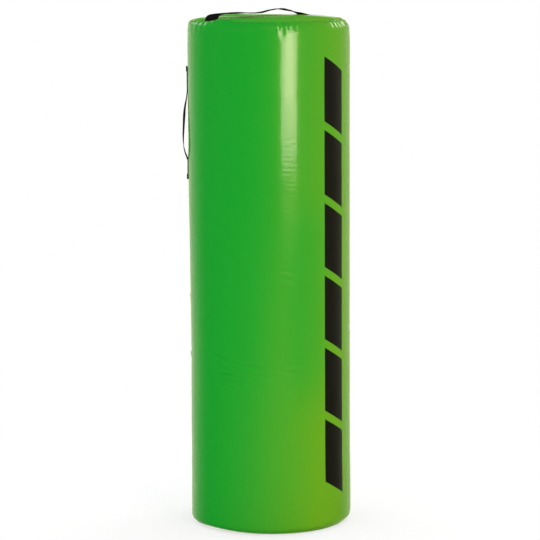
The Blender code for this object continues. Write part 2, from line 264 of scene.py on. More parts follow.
low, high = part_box("foam_core")
outline = [(0, high[2]), (high[0], high[2]), (high[0], low[2]), (0, low[2])]
core = make_piece("firm_core", turned_shape(outline, 72), dense_foam, "bag", "dense_foam", "foam_core")

foam_reach = high[0]
for node in ("foam_middle_sleeve", "foam_outer_sleeve"):
    bore = foam_reach + SLEEVE_PLAY
    low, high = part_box(node)
    outline = [(high[0], high[2]), (high[0], low[2]), (bore, low[2]), (bore, high[2])]
    shape = turned_shape(outline, 72, closed=True)
    soften(shape, FOAM_EDGE)
    name = node.replace("foam_", "rolled_")
    sleeve = make_piece(name, shape, soft_foam, "bag", "soft_foam", node)
    foam_reach = high[0]

FOOT_SEAM = 207.2 * MM
FOOT_PAD_REACH = FOOT_SEAM - 3 * MM
FOOT_PAD_STEP = 12.7 * MM
low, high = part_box("base_pad")
outline = [(0, high[2]), (foam_reach, high[2]), (foam_reach, FOOT_PAD_STEP)]
outline += [(FOOT_PAD_REACH, FOOT_PAD_STEP), (FOOT_PAD_REACH, low[2]), (0, low[2])]
shape = turned_shape(outline, 96)
soften(shape, 1 * MM, 2)
base_pad = make_piece("foot_pad", shape, dense_foam, "bag", "dense_foam", "base_pad")

TOP_SEAM, TOP_SEAM_HEIGHT = 205 * MM, 1430.6 * MM
SHOULDER_START = TOP_SEAM + 0.9 * MM
SHOULDER_HEIGHT = 30 * MM
STRAIGHT_TOP = TOP_SEAM_HEIGHT - SHOULDER_HEIGHT
CROWN_RISE = 8.4 * MM
COVER_REACH = 227 * MM
SEAM_ALLOWANCE = 10 * MM
TOP_PAD_REACH = TOP_SEAM - 2.4 * MM
TOP_PAD_STEP = TOP_SEAM_HEIGHT - SEAM_ALLOWANCE - 3.2 * MM
TOP_PAD_COVER, TOP_PAD_EDGE_COVER = 3.4 * MM, 5 * MM


def crown_height(reach):
    """The top panel's outer face, a shallow cushion held down at the seam."""
    return TOP_SEAM_HEIGHT + CROWN_RISE * (1 - min(reach / TOP_SEAM, 1) ** 3)


def shoulder_curve(inset, steps):
    """The cover's rounded shoulder, from its top out to the straight wall, inset towards the foam."""
    width = COVER_REACH - SHOULDER_START - inset
    turns = [90 * i / steps for i in range(steps + 1)]
    return bend(SHOULDER_START, STRAIGHT_TOP, width, SHOULDER_HEIGHT - inset, turns)


low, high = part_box("top_pad")
outline = [(reach, crown_height(reach) - TOP_PAD_COVER) for reach in np.arange(8) * TOP_PAD_REACH / 8]
edge_height = crown_height(TOP_PAD_REACH) - TOP_PAD_EDGE_COVER
outline += [(TOP_PAD_REACH, edge_height), (TOP_PAD_REACH, TOP_PAD_STEP)]
outline += [spot for spot in shoulder_curve(COVER_REACH - foam_reach, 12) if spot[1] < TOP_PAD_STEP]
outline += [(foam_reach, low[2]), (0, low[2])]
shape = turned_shape(outline, 96)
top_pad = make_piece("top_pad_foam", shape, dense_foam, "bag", "dense_foam", "top_pad")

# Base: a stiff black sheet disc inside, a round PVC panel under it, and a tape round their seam.
# The disc lets the bag stand flat. The panel is sewn to the wall inside out, so no stitch shows.
CLOTH = 0.9 * MM
HALF_SEAM = 0.15 * MM
BINDING_GAP, BINDING_TAPE, BINDING_COVER = 0.25 * MM, 0.6 * MM, 7 * MM
# Painted light: the cool green is the wall's tone on its shaded left, the warm green its painted lit tone
# on the right.
GREEN_PAINTED_SHADED, GREEN_PAINTED_LIT = (0.0, 0.335, 0.020, 1), (0.135, 0.36, 0.006, 1)
GREEN_FLECK, GREEN_SCUFF = (0.02, 0.42, 0.05, 1), (0.08, 0.38, 0.07, 1)
COAT_TINT, BLOOM = (1.0, 0.85, 0.35, 1), (0.6, 1.0, 0.25, 1)
INK = (0.006, 0.006, 0.005, 1)
PAINTED_LIGHT_DRIFT, MOTTLE, RIPPLE, RUB, WEAVE = 700 * MM, 35 * MM, 34 * MM, 26 * MM, 1.6 * MM
STRIPE_CENTRE, STRIPE_HALF = 206 * MM, 40 * MM
STRIPE_LOW, STRIPE_HIGH = 95 * MM, 1315 * MM
STRIPE_REPEAT, STRIPE_GAP, STRIPE_EDGE = 203 * MM, 24 * MM, 0.35 * MM
STRIPE_SLANT = 0.55


def coated_cloth(name, printed=False, lacquer=1.0, gloss=0.5, bloom=BLOOM):
    """PVC on a woven cloth under clear lacquer, with a soft bloom where it is seen along its surface.

    Painted light: its green is painted warmer towards the right, where the warm key light falls, and also
    warmer towards the foot and less warm in a patch at mid height on the right; under slow ripples, faint
    flecks and rubs that thicken at the foot.
    """
    shine = {"IOR": 1.5, "Specular IOR Level": gloss, "Specular Tint": COAT_TINT}
    coat = {"Coat Weight": lacquer, "Coat IOR": 1.5, "Coat Roughness": 0.11}
    haze = {"Sheen Weight": 0.6, "Sheen Roughness": 0.25, "Sheen Tint": bloom}
    finish = Finish(name, {**shine, **coat, **haze})
    place = finish.on_object()
    across, _, height = finish.axes(place)
    # Painted light: the warm lit tone is painted in by place, rising to the right and towards the foot and
    # dipping in a patch at mid height on the right.
    painted_warm_light = across * 2.80 - height * 0.15 + finish.noise(place, PAINTED_LIGHT_DRIFT, 1) * 0.1 + 0.49
    painted_warm_light = painted_warm_light + height.rise(600 * MM, 250 * MM) * 0.07
    painted_shade_patch = height.rise(1000 * MM, 800 * MM) * height.rise(300 * MM, 500 * MM)
    painted_shade_patch = painted_shade_patch * across.rise(20 * MM, 90 * MM) * across.rise(180 * MM, 120 * MM)
    painted_warm_light = (painted_warm_light - painted_shade_patch * 0.2).clipped()
    green = finish.mix(painted_warm_light * painted_warm_light, GREEN_PAINTED_SHADED, GREEN_PAINTED_LIT)
    mottle = finish.noise(place, MOTTLE, 5, 0.6)
    green = finish.mix((mottle - 0.5) * 0.16 + 0.04, green, GREEN_FLECK)
    rubs = finish.noise(finish.stretched(place, 0.3), RUB, 6, 0.7).rise(0.66, 0.80)
    scuffs = rubs * (height.rise(70 * MM, 6 * MM) * 0.5 + 0.12)
    green = finish.mix(scuffs, green, GREEN_SCUFF)
    roughness = 0.20 + scuffs * 0.25 + mottle * 0.08
    ripple = finish.noise(finish.stretched(place, 0.6), RIPPLE, 3, 0.5)
    skin = finish.noise(place, WEAVE, 3, 0.55) * 0.04 + ripple
    if printed:
        cloth = finish.on_cloth()
        along, up, _ = finish.axes(cloth)
        beside = along - STRIPE_CENTRE
        slanted = up + beside * STRIPE_SLANT
        bar = abs(beside).rise(STRIPE_HALF + STRIPE_EDGE, STRIPE_HALF - STRIPE_EDGE)
        gap = (slanted - STRIPE_LOW) % STRIPE_REPEAT
        bar = bar * gap.rise(STRIPE_GAP - STRIPE_EDGE, STRIPE_GAP + STRIPE_EDGE)
        bar = bar * slanted.rise(STRIPE_LOW - STRIPE_EDGE, STRIPE_LOW + STRIPE_EDGE)
        bar = bar * slanted.rise(STRIPE_HIGH + STRIPE_EDGE, STRIPE_HIGH - STRIPE_EDGE)
        thin = finish.noise(cloth, 3 * MM, 4, 0.7).rise(0.70, 0.78) * 0.25
        bar = bar * (1 - thin)
        green = finish.mix(bar, green, INK)
        roughness = roughness + bar * 0.10
        skin = skin + bar * 0.025
    return finish.wear(green, skin, 0.6 * MM, roughness)


def woven_tape(name, colour, shade, rib):
    """A narrow woven tape with fine ribs across it and painted shade between the ribs."""
    finish = Finish(name, {"Specular IOR Level": 0.25, "Roughness": 0.8})
    place = finish.on_object()
    across, depth, _ = finish.axes(place)
    turn = across.maths("ARCTAN2", depth, across)
    ribs = (turn * (TOP_SEAM * math.tau / 2 / rib)).wave() * 0.5 + 0.5
    fuzz = finish.noise(place, 0.6 * MM, 2)
    # Painted shade: the tape is darker between its ribs, with random fuzz.
    colour = finish.mix(ribs * 0.6 + fuzz * 0.4, shade, colour)
    return finish.wear(colour, ribs + fuzz * 0.4, 0.12 * MM)


def grained_sheet(name, colour, shade):
    """Stiff PVC sheet with a leather-like grain."""
    finish = Finish(name, {"IOR": 1.5, "Roughness": 0.5})
    place = finish.on_object()
    grain = finish.cells(place, 2.4 * MM, "SMOOTH_F1")
    rubs = finish.noise(place, 40 * MM, 5, 0.65).rise(0.35, 0.75)
    return finish.wear(finish.mix(rubs, colour, shade), grain, 0.25 * MM)


def dress_node(node, finish):
    """A plain part whose shape is right as it comes gets its finish and nothing else."""
    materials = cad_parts[node].data.materials
    materials.clear()
    materials.append(finish)


green_pvc = coated_cloth("green_pvc")
stiff_pvc = grained_sheet("stiff_pvc", (0.03, 0.03, 0.03, 1), (0.055, 0.055, 0.052, 1))
seam_tape = woven_tape("seam_tape", (0.035, 0.035, 0.035, 1), (0.01, 0.01, 0.01, 1), 1.4 * MM)
dress_node("base_reinforcement", stiff_pvc)

FOOT_TURN = 1.5 * MM
FOOT_PANEL_REACH = FOOT_SEAM - FOOT_TURN - HALF_SEAM
outline = [(FOOT_PANEL_REACH + FOOT_TURN, SEAM_ALLOWANCE + FOOT_TURN)]
outline += bend(FOOT_PANEL_REACH, FOOT_TURN, FOOT_TURN, FOOT_TURN, range(90, 181, 15))
outline += [(FOOT_PANEL_REACH * (1 - i / 24), 0) for i in range(1, 25)]
shape = turned_shape(outline, 192)
if sum(face.normal.z * face.calc_area() for face in shape.faces) > 0:
    bmesh.ops.reverse_faces(shape, faces=shape.faces)
base_cloth = make_piece("base_cloth", shape, green_pvc, "bag", "green_pvc", "base_panel")


def folded_tape(name, seam_reach, tip, towards, node):
    """Binding tape folded over both seam allowances; towards is 1 where they point up."""
    inner = HALF_SEAM + CLOTH + BINDING_GAP
    outer = inner + BINDING_TAPE
    fold, back, mouth = (tip + towards * up for up in (0.2 * MM, 0.8 * MM, -BINDING_COVER))
    half = [(outer, back), (outer, mouth), (inner, mouth), (inner, fold)]
    outline = [(seam_reach + out, height) for out, height in half]
    outline += [(seam_reach - out, height) for out, height in reversed(half)]
    shape = turned_shape(outline, 144, closed=True)
    soften(shape, 0.2 * MM, 2)
    return make_piece(name, shape, seam_tape, "bag", "binding_tape", node)


folded_tape("foot_seam_tape", FOOT_SEAM, FOOT_TURN + SEAM_ALLOWANCE, 1, "base_seam_binding")

# Wall: one panel of green PVC-coated cloth, rolled round the foam and drawn tight over it.
# It rolls over the shoulder into the top seam, puckers there, and creases where the bag has bent.
WALL_TURNS = 336
# Height in metres, then how far the wall stands out at the left and at the right, in mm.
WALL_SWELL = (
    (0.000, 0.6, -4.5), (0.008, 1.7, -3.0), (0.018, 2.7, -0.2), (0.030, 2.6, 1.0),
    (0.087, 1.8, 1.1), (0.134, 1.2, 0.7), (0.204, 0.8, 0.0), (0.274, 0.6, 0.0),
    (0.344, 0.3, 0.0), (0.414, 0.2, 0.2), (0.483, 0.0, 0.2), (0.552, 0.0, 0.4),
    (0.622, 0.2, 0.5), (0.714, 0.8, 0.7), (0.782, 1.2, 0.8), (0.828, 1.4, 0.9),
    (0.874, 1.8, 1.0), (0.919, 2.1, 1.0), (0.965, 2.3, 1.0), (1.078, 1.8, 1.2),
    (1.146, 1.8, 1.4), (1.214, 1.8, 1.7), (1.281, 1.7, 1.9), (1.315, 1.7, 2.1),
    (1.337, 1.6, 2.2), (1.371, 1.1, 1.9), (1.402, 0.9, 1.2), (1.420, 0.4, -1.8),
    (1.430, 0.0, -2.2),
)
# Puckers under the top seam: degrees right of the front, half width, depth and length in mm.
PUCKERS = (
    (1.8, 4, 0.8, 22), (4.6, 4, 0.5, 26), (9.6, 5.5, 2.0, 58), (15.0, 4.5, 0.6, 24),
    (19.3, 4.5, 0.7, 30), (31.8, 3.5, 1.1, 34), (44.0, 4, 0.8, 26), (53.5, 3.5, 1.8, 36),
    (58.5, 3, 1.5, 30), (63.5, 4, 2.4, 52), (69.0, 3.5, 1.6, 34), (-9.0, 6, 0.8, 24),
    (-19.0, 5, 0.8, 24), (-31.0, 7, 0.9, 30), (-53.0, 5, 0.8, 34), (-60.0, 5, 1.0, 44),
    (-68.0, 6, 1.1, 40),
)
# Creases pressed into the wall: degrees and height at each end, half width and depth in mm.
CREASES = (
    (-26, 0.778, -12, 0.768, 4, 0.6), (-30, 0.795, -16, 0.788, 7, 0.4), (1, 0.751, 21, 0.740, 5, 0.26),
    (-6, 0.757, 8, 0.748, 5, 0.34), (6, 0.727, 18, 0.715, 5, 0.24), (-46, 0.503, -32, 0.490, 5, 1.5),
    (-34, 0.492, -20, 0.480, 4, 1.5), (-22, 0.481, -4, 0.472, 5, 1.3), (-6, 0.474, 12, 0.466, 4, 0.6),
    (8, 0.466, 28, 0.452, 5, 0.55), (10, 0.484, 24, 0.474, 6, 0.45), (-40, 0.468, -26, 0.462, 4, 1.2),
    (-42, 0.452, -24, 0.447, 4, 1.3), (-36, 0.436, -26, 0.432, 4, 1.2), (-14, 0.452, 4, 0.444, 6, 0.7),
    (2, 0.440, 16, 0.434, 6, 0.5), (8, 0.078, 27, 0.078, 3, 0.5), (-98, 0.652, -78, 0.646, 8, -1.2),
    (-98, 0.628, -80, 0.634, 6, -1), (-96, 0.486, -80, 0.480, 7, -1.6), (70, 0.560, 96, 0.548, 7, 0.9),
    (84, 0.905, 112, 0.892, 7, 1), (110, 0.420, 146, 0.408, 8, 1.1), (-150, 0.700, -118, 0.712, 8, 1),
    (-142, 0.330, -116, 0.322, 7, 0.8), (128, 1.060, 158, 1.068, 7, 0.9),
    (-176, 0.250, -150, 0.262, 7, 0.7),
)
# Small ripples across the wall: degrees, height, half width, wave length, waves and depth in mm.
RIPPLES = (
    (13, 1.221, 16, 11, 2, 0.30), (14, 1.105, 16, 10, 2, 0.34), (13, 1.035, 22, 13, 4, 0.36),
    (15, 0.965, 20, 12, 3, 0.42), (13, 0.905, 22, 13, 4, 0.36), (12, 0.845, 18, 12, 3, 0.25),
    (-58, 0.925, 20, 14, 3, 0.3), (62, 1.20, 24, 14, 3, 0.3), (140, 0.82, 26, 15, 3, 0.4),
    (-130, 1.02, 24, 14, 3, 0.35), (100, 0.30, 24, 14, 3, 0.3),
)
# How far the corner of the foot has curled up off the ground: degrees right of the front, and mm.
FOOT_CURL = (
    (-180, 0.0), (-90, 0.0), (-66, 0.5), (-52, 2.8), (-44, 3.0), (-34, 2.3), (-26, 1.3), (-15, 0.4),
    (5, 0.2), (40, 0.2), (54, 1.2), (68, 1.4), (82, 0.4), (95, 0.0), (180, 0.0),
)


def level(table, at, column):
    """A table's value at a height, read along a straight line between its rows."""
    return np.interp(at, [row[0] for row in table], [row[column] for row in table])


def swell_at(degrees, height):
    """How far the cover stands outside its plain cylinder, in metres. Degrees run right from the front."""
    towards_right = 0.5 + 0.5 * np.sin(np.radians(degrees))
    left, right = level(WALL_SWELL, height, 1), level(WALL_SWELL, height, 2)
    return (left + (right - left) * towards_right) * MM


def hill(distance, half_width):
    return np.exp(-((distance / half_width) ** 2))


def ramp(value, start, full):
    """0 up to the start, 1 from where it is full, and straight between."""
    return np.clip((value - start) / (full - start), 0, 1)


def nearest_turn(degrees):
    return (degrees + 180) % 360 - 180


def round_wall(degrees):
    """How far a turn reaches round the wall, the nearer way, in metres."""
    return nearest_turn(degrees) * math.radians(1) * COVER_REACH


def pucker_depth(degrees, below_seam, centre, half_width, depth, length):
    """A furrow that starts at the seam and dies out below it, with a low roll at each side."""
    beside = round_wall(degrees - centre) / MM
    spread = half_width * (1 + 0.7 * below_seam / length)
    rolls = hill(beside - 2 * spread, spread) + hill(beside + 2 * spread, spread)
    fade = ramp(below_seam, length, 0) ** 1.5
    return -depth * (hill(beside, spread) - 0.45 * rolls) * fade


def crease_depth(degrees, height, start, start_height, end, end_height, width, depth):
    """A short furrow pressed between two points, a little bowed, with soft ends and a roll at each side."""
    along_wall = round_wall(degrees - (start + end) / 2)
    up_wall = height - (start_height + end_height) / 2
    half = Vector((round_wall(end - start) / 2, (end_height - start_height) / 2))
    length = half.length
    forward = half / length
    along = along_wall * forward.x + up_wall * forward.y
    beside = (up_wall * forward.x - along_wall * forward.y) / MM
    beside = beside + 2.5 * (along / length) ** 2 - 1.2
    fade = ramp((along / length) ** 2, 1, 0) ** 0.8
    groove = hill(beside, width) - 0.4 * hill(beside - 1.9 * width, width * 1.1)
    groove = groove - 0.4 * hill(beside + 1.9 * width, width * 1.1)
    return -depth * groove * fade


def ripple_depth(degrees, height, centre, middle, half_width, wave, waves, depth):
    """A few small waves, a little tilted, that die out all round."""
    beside = round_wall(degrees - centre) / MM
    above = (height - middle) / MM + 0.12 * beside
    fade = hill(beside, half_width) * hill(above, wave * waves / 2)
    return depth * fade * np.sin(above * math.tau / wave)


def soft_waves(places, longest, seed, count=14):
    """Slow unevenness with no direction: a sum of long waves at random angles."""
    rng = random.Random(seed)
    total = np.zeros(len(places))
    for _ in range(count):
        length = longest * rng.uniform(0.35, 1)
        way = Vector((rng.gauss(0, 1), rng.gauss(0, 1), rng.gauss(0, 1))).normalized()
        phase = rng.uniform(0, math.tau)
        total += np.sin(places @ np.array(way) * math.tau / length + phase) * length / longest
    return total / math.sqrt(count)


def seam_puckers(seed, count, depth):
    """Small gathers spread unevenly round a seam: degrees, half width, depth and length."""
    rng = random.Random(seed)
    made = []
    for i in range(count):
        degrees = 360 * (i + rng.uniform(-0.35, 0.35)) / count
        half_width = rng.uniform(2.5, 6.5)
        made.append((degrees, half_width, depth * rng.uniform(0.4, 1.3), rng.uniform(12, 38)))
    return made


def sunk(degrees):
    """The top seam lies a little lower at the two sides, and rides up by the handle's front end."""
    left, right, strap = (nearest_turn(degrees + turn) for turn in (100, -100, 39))
    return (0.4 * hill(left, 38) + 0.7 * hill(right, 30) - 6.5 * hill(strap, 10)) * MM


def points_of(shape):
    """The shape's points, how far right of the front each is turned, and how far out it is."""
    places = np.array([vert.co for vert in shape.verts])
    degrees = np.degrees(np.arctan2(places[:, 0], -places[:, 1]))
    return places, degrees, np.hypot(places[:, 0], places[:, 1])


def put_back(shape, places):
    for vert, place in zip(shape.verts, places):
        vert.co = place


LIP = 0.7 * MM
FOOT_CORNER, FOOT_LIFT = 18 * MM, 0.5 * MM
STRAIGHT_FOOT = FOOT_LIFT + FOOT_CORNER
lip_reach = TOP_SEAM + LIP + HALF_SEAM
outline = [(lip_reach - LIP, TOP_SEAM_HEIGHT - LIP - SEAM_ALLOWANCE)]
outline += bend(lip_reach, TOP_SEAM_HEIGHT - LIP, LIP, LIP, range(-90, 0, 18))
outline += shoulder_curve(0, 22)
start = STRAIGHT_TOP
# The straight wall, in stretches down to a height, with rows as close as the creases there need.
for end, row in (
    (1350, 2.6), (800, 6), (700, 3), (510, 7), (425, 2.8), (90, 8), (66, 2), (STRAIGHT_FOOT / MM, 4)
):
    end = end * MM
    count = max(1, round(abs(end - start) / (row * MM)))
    outline += [(COVER_REACH, start + (end - start) * i / count) for i in range(1, count + 1)]
    start = end
corner_reach = COVER_REACH - FOOT_CORNER
outline += bend(corner_reach, STRAIGHT_FOOT, FOOT_CORNER, FOOT_CORNER, range(100, 181, 10))
turn_reach = FOOT_SEAM + FOOT_TURN + HALF_SEAM
outline += bend(turn_reach, FOOT_LIFT + FOOT_TURN, FOOT_TURN, FOOT_TURN, range(195, 271, 15))
outline.append((turn_reach - FOOT_TURN, FOOT_TURN + SEAM_ALLOWANCE))
shape = turned_shape(outline, WALL_TURNS)

normals = np.array([vert.normal for vert in shape.verts])
places, degrees, reach = points_of(shape)
heights = places[:, 2]
outward = np.sign((normals[:, :2] * places[:, :2]).sum(axis=1).mean())
# Roughly how far each point lies from the top seam along the cloth, in mm.
below_seam = (TOP_SEAM_HEIGHT - heights) / MM + 0.6 * (COVER_REACH - reach) / MM
below_seam = np.where(heights > STRAIGHT_TOP - 1 * MM, below_seam - 8, below_seam)
below_seam = np.maximum(below_seam, 0)
# Nothing moves where the cloth is sewn, and all of it a few millimetres away.
shown = ramp(reach, TOP_SEAM + 0.5 * MM, TOP_SEAM + 3.5 * MM) * ramp(heights, 1 * MM, 7 * MM)
relief = soft_waves(places, 260 * MM, 3) * 0.25 + soft_waves(places, 90 * MM, 5) * 0.10
relief += soft_waves(places * np.array([1, 1, 0.2]), 80 * MM, 6) * 0.10
for pucker in (*PUCKERS, *seam_puckers(11, 38, 0.45)):
    relief += pucker_depth(degrees, below_seam, *pucker)
for crease in CREASES:
    relief += crease_depth(degrees, heights, *crease)
for ripple in RIPPLES:
    relief += ripple_depth(degrees, heights, *ripple)
for pucker in seam_puckers(23, 40, 0.5):
    relief += pucker_depth(degrees, np.maximum(heights / MM - 6, 0), *pucker)
moved = (swell_at(degrees, heights) + relief * MM) * shown * outward
places += normals * moved[:, None]
# The shoulder is squarer on the side of the side handle.
squared = 3.2 * MM * hill(nearest_turn(degrees + 85), 40)
squared *= ramp(heights, 1410 * MM, 1422 * MM) * ramp(reach, 208 * MM, 214 * MM)
places[:, :2] += places[:, :2] / reach[:, None] * squared[:, None]
places[:, 2] -= sunk(degrees) * ramp(heights, 1370 * MM, 1420 * MM)
curl = level(FOOT_CURL, degrees, 1) * ramp(heights, 60 * MM, 30 * MM)
places[:, 2] += curl * ramp(reach, 207.3 * MM, 211.3 * MM) * MM
put_back(shape, places)

SLIT_HALF = 2 * MM
SLIT_LOW, SLIT_HIGH = 95 * MM, 1337 * MM
BACK_FROM = 200 * MM
for side in (-1, 1):
    back = [face for face in shape.faces if face.calc_center_median().y > BACK_FROM]
    edges = {edge for face in back for edge in face.edges}
    verts = {vert for face in back for vert in face.verts}
    cut = (side * SLIT_HALF, 0, 0)
    bmesh.ops.bisect_plane(shape, geom=[*back, *edges, *verts], plane_co=cut, plane_no=(1, 0, 0))
slit_faces = []
for face in shape.faces:
    middle = face.calc_center_median()
    if middle.y > BACK_FROM and abs(middle.x) < SLIT_HALF and SLIT_LOW < middle.z < SLIT_HIGH:
        slit_faces.append(face)
bmesh.ops.delete(shape, geom=slit_faces, context="FACES")
cut_edges = []
for edge in shape.edges:
    spot = edge.verts[0].co
    if edge.is_boundary and spot.y > BACK_FROM and SLIT_LOW - 5 * MM < spot.z < SLIT_HIGH + 13 * MM:
        cut_edges.append(edge)
grown = bmesh.ops.extrude_edge_only(shape, edges=cut_edges)
for vert in (item for item in grown["geom"] if isinstance(item, bmesh.types.BMVert)):
    vert.co.y -= 1.6 * MM
    vert.co.x += math.copysign(1.2 * MM, vert.co.x)
if outward < 0:
    bmesh.ops.reverse_faces(shape, faces=shape.faces)
cloth_map = shape.loops.layers.uv.new("cloth")
for face in shape.faces:
    middle = face.calc_center_median()
    face_turn = math.atan2(middle.x, -middle.y)
    for loop in face.loops:
        turn = math.atan2(loop.vert.co.x, -loop.vert.co.y)
        turn += math.tau * round((face_turn - turn) / math.tau)
        loop[cloth_map].uv = (turn * COVER_REACH, loop.vert.co.z)
printed_pvc = coated_cloth("printed_green_pvc", printed=True)
wall = make_piece("wall_cloth", shape, printed_pvc, "bag", "green_pvc", "wall_panel")
SOFT_FOLD = math.radians(80)
wall.data.set_sharp_from_angle(angle=SOFT_FOLD)

# Top: a round panel of the same PVC, domed a little over its pad and sewn in inside out.
# Its edge turns down into the seam, its thread draws in small gathers, and the handle beds into it.
TOP_TURN = math.radians(43.5)
TOP_BLOOM = (0.2, 0.3, 0.05, 1)
TOP_FIN_TIP = TOP_SEAM_HEIGHT - 2 * MM - SEAM_ALLOWANCE
# The crown is puffed up at its back left: the middle of that place, its width and its rise, in mm.
PILLOW_X, PILLOW_Y, PILLOW_WIDTH, PILLOW_RISE = -112, 112, 62, 3
lip_reach = TOP_SEAM - HALF_SEAM - LIP
outline = [(reach, crown_height(reach)) for reach in (TOP_SEAM * i / 60 for i in range(60))]
outline += bend(lip_reach, TOP_SEAM_HEIGHT - LIP, LIP, LIP, range(10, 91, 20))
outline.append((TOP_SEAM - HALF_SEAM, TOP_FIN_TIP))
shape = turned_shape(outline, 288)
places, degrees, reach = points_of(shape)
shown = ramp(reach, TOP_SEAM, TOP_SEAM - 3 * MM) * (places[:, 2] > TOP_SEAM_HEIGHT)
relief = soft_waves(places, 170 * MM, 8) * 0.28 + soft_waves(places, 60 * MM, 9) * 0.06
along = places[:, 0] * np.cos(TOP_TURN) + places[:, 1] * np.sin(TOP_TURN)
aside = places[:, 1] * np.cos(TOP_TURN) - places[:, 0] * np.sin(TOP_TURN)
pressed = ramp(along, 110 * MM, 138 * MM) * ramp(abs(aside), 34 * MM, 27 * MM)
for pucker in (*seam_puckers(31, 40, 0.6), *seam_puckers(37, 17, 0.6)):
    relief += pucker_depth(degrees, (TOP_SEAM - reach) / MM * 0.8, *pucker)
pillow = hill(places[:, 0] / MM - PILLOW_X, PILLOW_WIDTH) * hill(places[:, 1] / MM - PILLOW_Y, PILLOW_WIDTH)
relief += PILLOW_RISE * pillow
relief = relief * (1 - pressed) - 2 * pressed * pressed * (3 - 2 * pressed)
places[:, 2] += relief * shown * MM - sunk(degrees) * ramp(reach, 120 * MM, 200 * MM)
put_back(shape, places)
if sum(face.normal.z for face in shape.faces) < 0:
    bmesh.ops.reverse_faces(shape, faces=shape.faces)
satin_pvc = coated_cloth("satin_green_pvc", lacquer=0.7, gloss=0.0, bloom=TOP_BLOOM)
top_cloth = make_piece("top_cloth", shape, satin_pvc, "bag", "green_pvc", "top_panel")
top_cloth.data.set_sharp_from_angle(angle=SOFT_FOLD)
folded_tape("top_seam_tape", TOP_SEAM, TOP_FIN_TIP, -1, "top_seam_binding")

# Side handle: one strap of 50 mm black webbing, folded under and box-stitched to the wall at
# both ends through a stiff patch inside. It bows off the wall between them and twists a little.
WEB_WIDTH, WEB = 50 * MM, 1.8 * MM
WEB_COLUMNS = 12
WEB_BLACK, WEB_GREY = (0.002, 0.002, 0.002, 1), (0.010, 0.010, 0.010, 1)
YARN_WIDTH, YARN_LENGTH = 1.7 * MM, 2.6 * MM
THREAD, THREAD_TWIST = 0.75 * MM, 0.7 * MM


def webbing_finish(name):
    """Polypropylene webbing: rows of short yarns laid like bricks, with painted shade in the gaps between
    them, fuzzy and a little worn.
    """
    finish = Finish(name, {"Specular IOR Level": 0.03})
    across, along, _ = finish.axes(finish.on_cloth())
    row = across / YARN_WIDTH
    brick = along / YARN_LENGTH + (row.steps() % 2) * 0.5
    yarns = abs((row * math.pi).wave()) * (0.35 + 0.65 * abs((brick * math.pi).wave()))
    fuzz = finish.noise(finish.on_object(), 0.5 * MM, 3, 0.7)
    worn = finish.noise(finish.on_object(), 30 * MM, 3).rise(0.5, 0.8)
    # Painted shade: the gaps between yarns are painted blacker than the yarns' crowns; fuzz and wear vary
    # the tone.
    colour = finish.mix(yarns * 0.55 + fuzz * 0.35 + worn * 0.2, WEB_BLACK, WEB_GREY)
    return finish.wear(colour, yarns + fuzz * 0.15, 0.35 * MM, 0.7 + fuzz * 0.2)


def thread_finish(name, colour, shade):
    """Twisted thread: fine slanting ridges, with painted shade in the grooves between them."""
    finish = Finish(name, {"Specular IOR Level": 0.4, "Roughness": 0.55})
    across, depth, height = finish.axes(finish.on_object())
    twist = ((across + depth + height) * (math.tau / THREAD_TWIST)).wave() * 0.5 + 0.5
    # Painted shade: the grooves of the twist take the darker colour.
    return finish.wear(finish.mix(twist, shade, colour), twist, 0.08 * MM)


def closed_strip(name, lengths, section, place, finish, body, slot, node):
    """A strip of one closed section run along a path: place(row, point of the section) puts each point."""
    shape = bmesh.new()
    rows, around = len(lengths) - 1, len(section)
    bmesh.ops.create_grid(shape, x_segments=rows, y_segments=around, size=0.5)
    cloth_map = shape.loops.layers.uv.new("cloth")
    spots = {}
    for vert in shape.verts:
        spots[vert] = round((vert.co.x + 0.5) * rows), round((vert.co.y + 0.5) * around)
    for face in shape.faces:
        for loop in face.loops:
            row, point = spots[loop.vert]
            loop[cloth_map].uv = (section[point % around][0], lengths[row])
    for vert, (row, point) in spots.items():
        vert.co = place(row, section[point % around])
    bmesh.ops.remove_doubles(shape, verts=shape.verts, dist=0.002 * MM)
    ends = [edge for edge in shape.edges if edge.is_boundary]
    bmesh.ops.holes_fill(shape, edges=ends, sides=0)
    bmesh.ops.recalc_face_normals(shape, faces=shape.faces)
    return make_piece(name, shape, finish, body, slot, node)


def sew(name, stitches, finish, body, slot, length=2.6 * MM):
    """Stitches lying on a surface, each given as its middle, the way it runs and the way it faces."""
    bead = bmesh.new()
    bmesh.ops.create_uvsphere(bead, u_segments=6, v_segments=4, radius=1)
    stitch = bpy.data.meshes.new("stitch")
    bead.to_mesh(stitch)
    bead.free()
    shape = bmesh.new()
    size = Matrix.Diagonal((length / 2, THREAD / 2, THREAD / 2.4, 1))
    for middle, forward, facing in stitches:
        side = facing.cross(forward).normalized()
        turn = Matrix((forward.normalized(), side, facing.normalized())).transposed()
        spot = Matrix.Translation(middle) @ turn.to_4x4() @ size
        stitch.transform(spot)
        shape.from_mesh(stitch)
        stitch.transform(spot.inverted())
    bpy.data.meshes.remove(stitch)
    return make_piece(name, shape, finish, body, slot)


def run_of_stitches(surface, start, end, pitch=3.4 * MM):
    """Stitches from start to end, in a surface's own flat coordinates."""
    start, end = Vector(start), Vector(end)
    count = max(1, round((end - start).length / pitch))
    made = []
    for i in range(count):
        before = surface(*start.lerp(end, i / count))[0]
        after = surface(*start.lerp(end, (i + 1) / count))[0]
        middle, facing = surface(*start.lerp(end, (i + 0.5) / count))
        forward = after - before
        made.append((middle, forward - facing * forward.dot(facing), facing))
    return made


